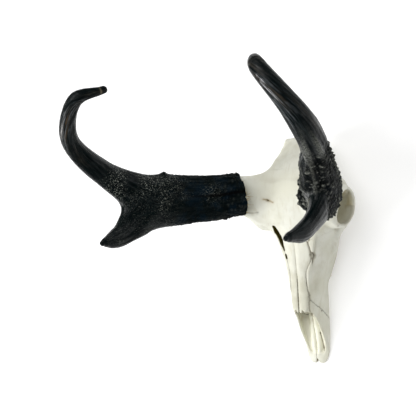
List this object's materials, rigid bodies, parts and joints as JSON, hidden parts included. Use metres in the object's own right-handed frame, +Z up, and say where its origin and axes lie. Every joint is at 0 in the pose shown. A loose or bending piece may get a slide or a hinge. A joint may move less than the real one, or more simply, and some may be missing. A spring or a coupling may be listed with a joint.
{
  "type": "pronghorn skull",
  "caption": "Cleaned pronghorn buck skull without the lower jaw, with both forked black horn sheaths, lying upright on its cheek teeth as a life-size museum model.",
  "frame": {"origin": "centre of the bounding box on the floor plane that the tooth crowns, nose tips and paroccipital spurs rest on", "axes": "+X to the animal's left, -Y to the nose, +Z up"},
  "size_m": [0.2988, 0.2829, 0.3422],
  "materials": {
    "bone": "dry cleaned bone, matte cream with faint stains",
    "horn": "near-black horn sheath, fibrous and warty below, smooth and slightly glossy towards the tips"
  },
  "bodies": {
    "root": {"braincase": "bone", "frontal": "bone", "maxilla_left": "bone", "maxilla_right": "bone", "premaxilla_left": "bone", "premaxilla_right": "bone", "nasal_left": "bone", "nasal_right": "bone", "horn_left": "horn", "horn_left_prong": "horn", "horn_right": "horn", "horn_right_prong": "horn"}
  },
  "joints": []
}
